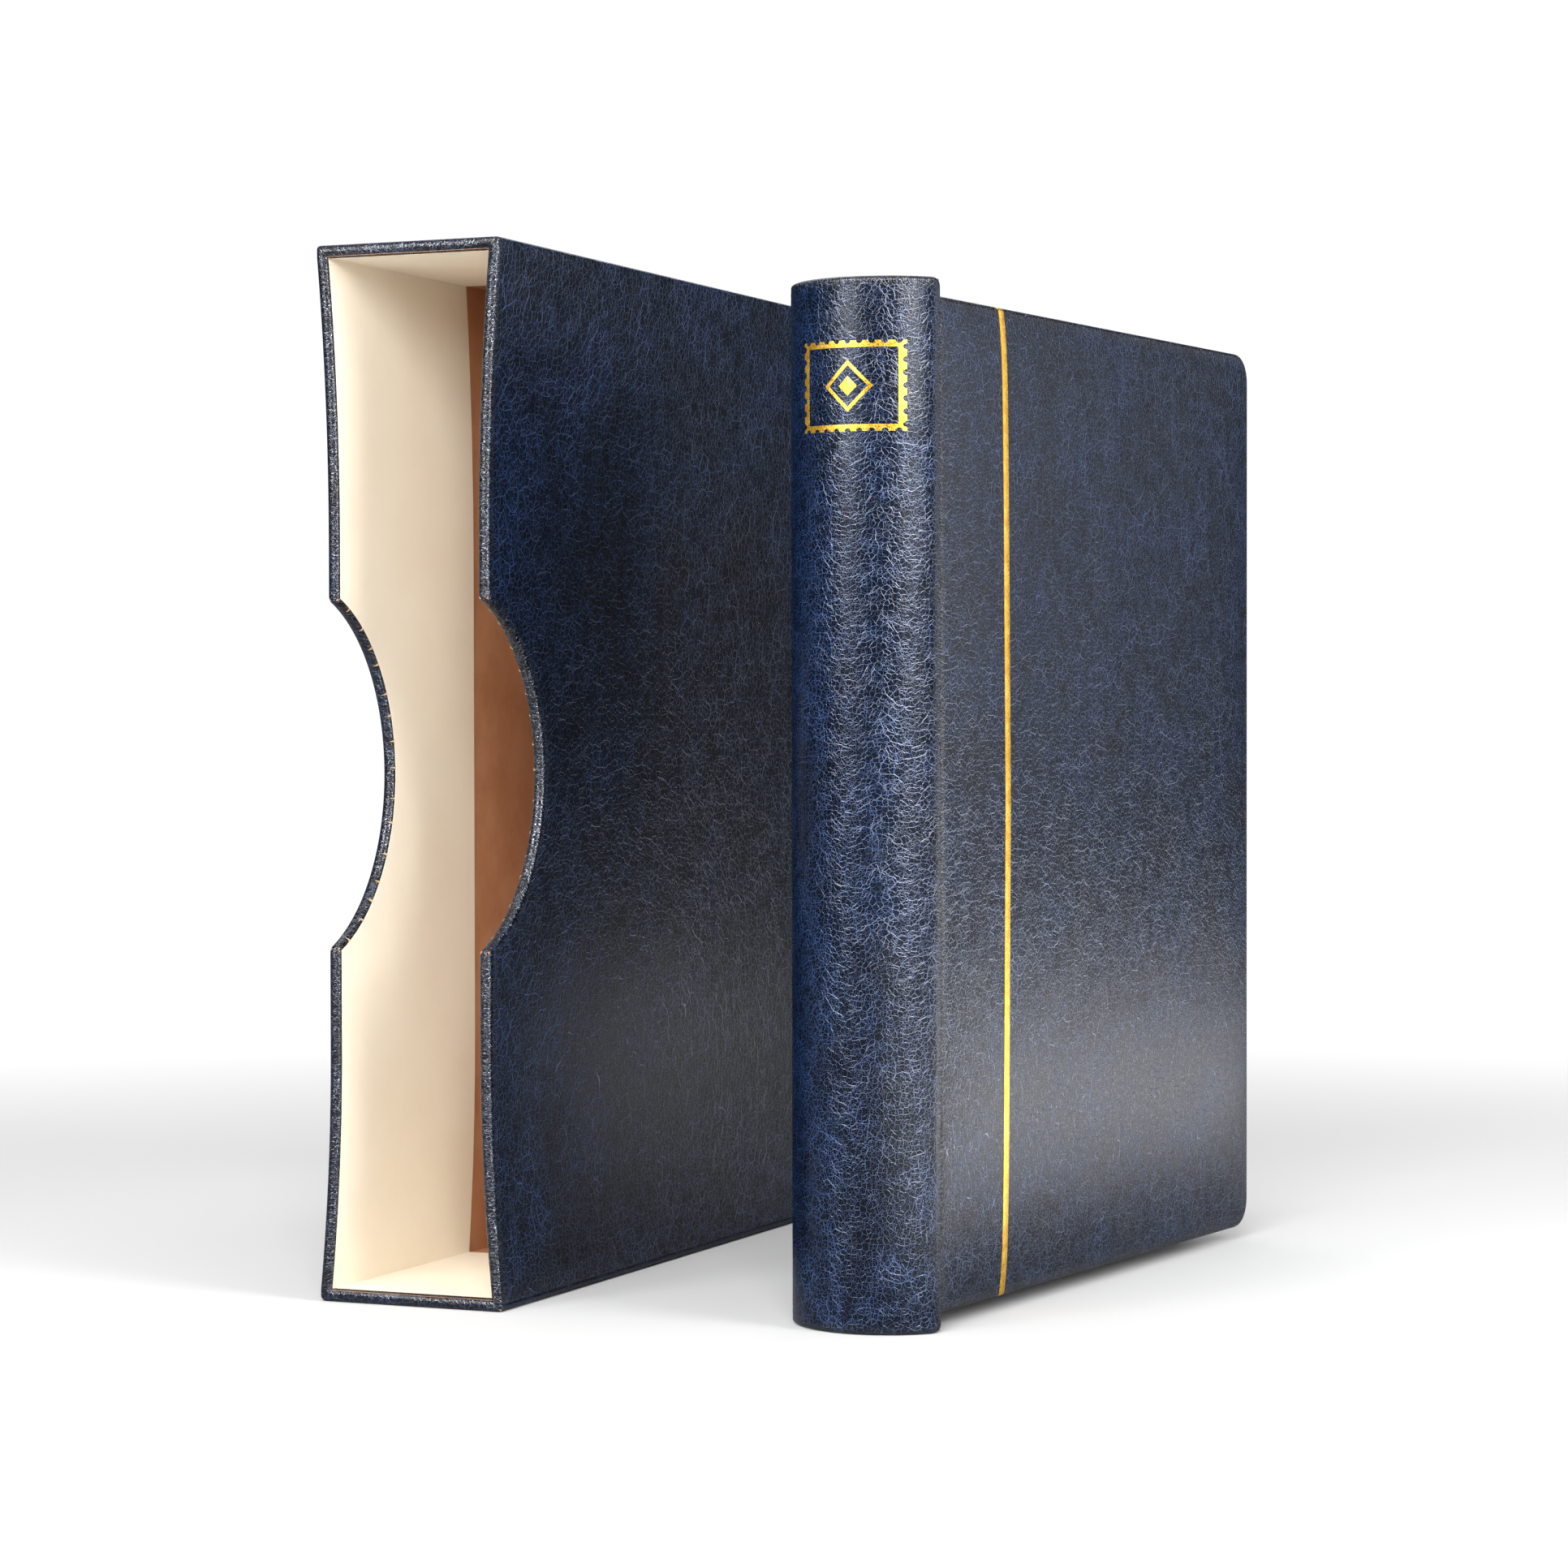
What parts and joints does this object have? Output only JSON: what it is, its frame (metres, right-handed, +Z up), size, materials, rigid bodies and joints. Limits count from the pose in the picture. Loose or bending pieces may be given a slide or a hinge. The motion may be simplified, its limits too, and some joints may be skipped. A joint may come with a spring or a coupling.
{
  "type": "stamp album with slipcase",
  "caption": "Ring-bound stamp album with padded leatherette covers and a rounded spine, standing beside its open-mouthed slipcase with thumb notches.",
  "frame": {"origin": "on the foot of the album's spine, in the middle of its wall thickness, where the album stands", "axes": "+X out of the front cover, +Y from the spine to the fore edge, +Z up along the spine"},
  "size_m": [0.2393, 0.2923, 0.346],
  "materials": {
    "leatherette": "semi-gloss crackle grain",
    "gold_foil": "hot-stamped foil",
    "brown_board": "raw board",
    "grey_board": "raw board",
    "foam": "soft foam sheet",
    "cream_paper": "matt lining paper",
    "endpaper": "matt dark blue paper",
    "lining_cloth": "fine dark blue cloth",
    "leaf_card": "smooth card",
    "nickel": "bright nickel plate"
  },
  "bodies": {
    "back_cover": {"back_board": "grey_board", "back_padding": "foam", "back_skin": "leatherette", "back_endpaper": "endpaper"},
    "spine": {"spine_shell": "grey_board", "spine_skin": "leatherette", "spine_ornament": "gold_foil", "spine_panel": "grey_board", "spine_lining": "endpaper", "front_outer_joint": "leatherette", "back_outer_joint": "leatherette", "front_inner_joint": "lining_cloth", "back_inner_joint": "lining_cloth", "arch_plate": "nickel", "mechanism_rivets": "nickel", "lever_pins": "nickel"},
    "front_cover": {"front_board": "grey_board", "front_padding": "foam", "front_skin": "leatherette", "front_endpaper": "endpaper", "front_gold_line": "gold_foil"},
    "left_ring_half": {"left_blade": "nickel", "left_rings": "nickel"},
    "right_ring_half": {"right_blade": "nickel", "right_rings": "nickel"},
    "upper_lever": {"upper_lever": "nickel"},
    "lower_lever": {"lower_lever": "nickel"},
    "slipcase": {"case_left_board": "brown_board", "case_left_skin": "leatherette", "case_left_lining": "cream_paper", "case_right_board": "brown_board", "case_right_skin": "leatherette", "case_right_lining": "cream_paper", "case_bottom_board": "brown_board", "case_bottom_skin": "leatherette", "case_bottom_lining": "cream_paper", "case_top_board": "brown_board", "case_top_skin": "leatherette", "case_top_lining": "cream_paper", "case_back_board": "brown_board", "case_back_skin": "leatherette"},
    "front_leaf_pack_1": {"front_leaves_1": "leaf_card"},
    "front_leaf_pack_2": {"front_leaves_2": "leaf_card"},
    "front_leaf_pack_3": {"front_leaves_3": "leaf_card"},
    "front_leaf_pack_4": {"front_leaves_4": "leaf_card"},
    "back_leaf_pack_1": {"back_leaves_1": "leaf_card"},
    "back_leaf_pack_2": {"back_leaves_2": "leaf_card"},
    "back_leaf_pack_3": {"back_leaves_3": "leaf_card"},
    "back_leaf_pack_4": {"back_leaves_4": "leaf_card"}
  },
  "joints": [
    {"name": "slipcase_slide", "type": "slide", "parent": "back_cover", "child": "slipcase", "axis": [0.1092, -0.994, 0], "range_m": [0, 0.27]},
    {"name": "back_hinge", "type": "hinge", "parent": "back_cover", "child": "spine", "pos_m": [-0.0216, 0.0187, 0], "axis": [0, 0, -1], "range_deg": [0, 90], "deforming": ["back_outer_joint", "back_inner_joint"]},
    {"name": "front_hinge", "type": "hinge", "parent": "spine", "child": "front_cover", "pos_m": [0.0216, 0.0187, 0], "axis": [0, 0, -1], "range_deg": [0, 90], "deforming": ["front_outer_joint", "front_inner_joint"]},
    {"name": "left_rings_open", "type": "hinge", "parent": "spine", "child": "left_ring_half", "pos_m": [-0.0112, 0.0163, 0], "axis": [0, 0, 1], "range_deg": [0, 7]},
    {"name": "right_rings_open", "type": "hinge", "parent": "spine", "child": "right_ring_half", "pos_m": [0.0112, 0.0163, 0], "axis": [0, 0, -1], "range_deg": [0, 7]},
    {"name": "upper_lever_tip", "type": "hinge", "parent": "spine", "child": "upper_lever", "pos_m": [0, 0.0176, 0.3094], "axis": [1, 0, 0], "range_deg": [0, 25]},
    {"name": "lower_lever_tip", "type": "hinge", "parent": "spine", "child": "lower_lever", "pos_m": [0, 0.0176, 0.0186], "axis": [-1, 0, 0], "range_deg": [0, 25]},
    {"name": "front_leaves_1_turn", "type": "hinge", "parent": "spine", "child": "front_leaf_pack_1", "pos_m": [0, 0.032, 0], "axis": [0, 0, -1], "range_deg": [0, 90]},
    {"name": "front_leaves_2_turn", "type": "hinge", "parent": "spine", "child": "front_leaf_pack_2", "pos_m": [0, 0.032, 0], "axis": [0, 0, -1], "range_deg": [0, 90]},
    {"name": "front_leaves_3_turn", "type": "hinge", "parent": "spine", "child": "front_leaf_pack_3", "pos_m": [0, 0.032, 0], "axis": [0, 0, -1], "range_deg": [0, 90]},
    {"name": "front_leaves_4_turn", "type": "hinge", "parent": "spine", "child": "front_leaf_pack_4", "pos_m": [0, 0.032, 0], "axis": [0, 0, -1], "range_deg": [0, 90]},
    {"name": "back_leaves_1_turn", "type": "hinge", "parent": "spine", "child": "back_leaf_pack_1", "pos_m": [0, 0.032, 0], "axis": [0, 0, 1], "range_deg": [0, 90]},
    {"name": "back_leaves_2_turn", "type": "hinge", "parent": "spine", "child": "back_leaf_pack_2", "pos_m": [0, 0.032, 0], "axis": [0, 0, 1], "range_deg": [0, 90]},
    {"name": "back_leaves_3_turn", "type": "hinge", "parent": "spine", "child": "back_leaf_pack_3", "pos_m": [0, 0.032, 0], "axis": [0, 0, 1], "range_deg": [0, 90]},
    {"name": "back_leaves_4_turn", "type": "hinge", "parent": "spine", "child": "back_leaf_pack_4", "pos_m": [0, 0.032, 0], "axis": [0, 0, 1], "range_deg": [0, 90]}
  ],
  "couplings": [
    {"joint": "right_rings_open", "follows": "left_rings_open", "ratio": 1},
    {"joint": "upper_lever_tip", "follows": "left_rings_open", "ratio": 3.5},
    {"joint": "lower_lever_tip", "follows": "left_rings_open", "ratio": 3.5},
    {"joint": "front_leaves_1_turn", "follows": "front_hinge", "ratio": 0.8},
    {"joint": "front_leaves_2_turn", "follows": "front_hinge", "ratio": 0.86},
    {"joint": "front_leaves_3_turn", "follows": "front_hinge", "ratio": 0.92},
    {"joint": "front_leaves_4_turn", "follows": "front_hinge", "ratio": 0.98},
    {"joint": "back_leaves_1_turn", "follows": "back_hinge", "ratio": 0.8},
    {"joint": "back_leaves_2_turn", "follows": "back_hinge", "ratio": 0.86},
    {"joint": "back_leaves_3_turn", "follows": "back_hinge", "ratio": 0.92},
    {"joint": "back_leaves_4_turn", "follows": "back_hinge", "ratio": 0.98}
  ]
}
